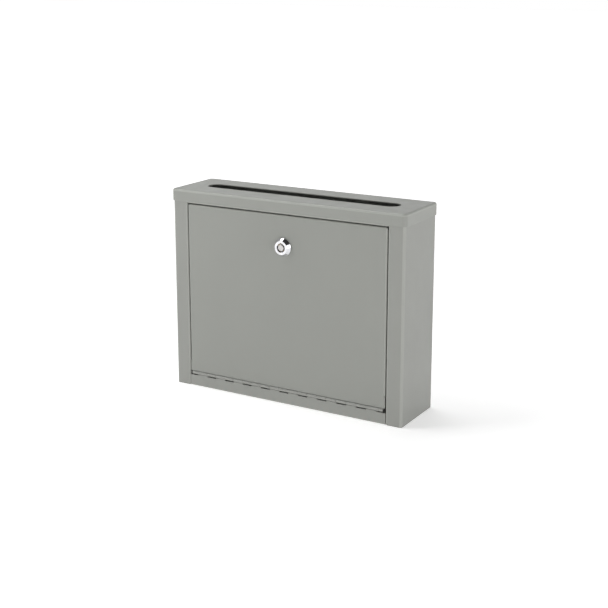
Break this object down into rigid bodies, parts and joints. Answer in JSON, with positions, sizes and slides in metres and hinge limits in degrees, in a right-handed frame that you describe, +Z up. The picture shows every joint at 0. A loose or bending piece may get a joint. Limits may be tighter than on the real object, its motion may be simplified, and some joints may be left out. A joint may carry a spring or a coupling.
{
  "type": "wall or counter drop box",
  "caption": "Sheet-steel drop box with a long letter slot in its cap and a drop-down front door on a continuous hinge, shut by a tubular cam lock.",
  "frame": {"origin": "middle of the base, halfway between the face of the lock and the back of the cap", "axes": "+X to the right along the box's width as seen from the front, -Y out of the front door, +Z up"},
  "size_m": [0.308, 0.086, 0.242],
  "materials": {
    "case_paint": "warm grey baked enamel, satin",
    "cap_paint": "warm grey baked enamel, satin",
    "door_paint": "warm grey baked enamel, satin",
    "hinge_paint": "warm grey baked enamel over rolled steel",
    "lock_chrome": "bright chrome plate",
    "lock_steel": "turned steel, nickel plated",
    "lock_brass": "turned brass",
    "plated_steel": "zinc plated steel"
  },
  "bodies": {
    "case": {"case_shell": "case_paint", "bottom_pan": "case_paint", "top_cap": "cap_paint", "header_rail": "case_paint", "hinge_case_leaf": "hinge_paint", "hinge_pin": "plated_steel"},
    "door": {"door_panel": "door_paint", "hinge_door_leaf": "hinge_paint", "lock_housing": "lock_chrome", "lock_bushing": "lock_brass", "lock_driver_pins": "lock_steel", "lock_pin_springs": "lock_steel", "lock_retaining_pin": "lock_steel", "lock_nut": "plated_steel", "lock_tooth_washer": "plated_steel"},
    "lock_rotor": {"lock_plug": "lock_steel", "lock_key_pins": "lock_brass", "lock_stop_washer": "plated_steel", "lock_cam": "plated_steel", "cam_screw": "plated_steel", "cam_spring_washer": "plated_steel"}
  },
  "joints": [
    {"name": "door_swing", "type": "hinge", "parent": "case", "child": "door", "pos_m": [0, -0.03765, 0.017], "axis": [1, 0, 0], "range_deg": [0, 93.5]},
    {"name": "lock_turn", "type": "hinge", "parent": "door", "child": "lock_rotor", "pos_m": [0, -0.03785, 0.188], "axis": [0, -1, 0], "range_deg": [0, 90]}
  ]
}
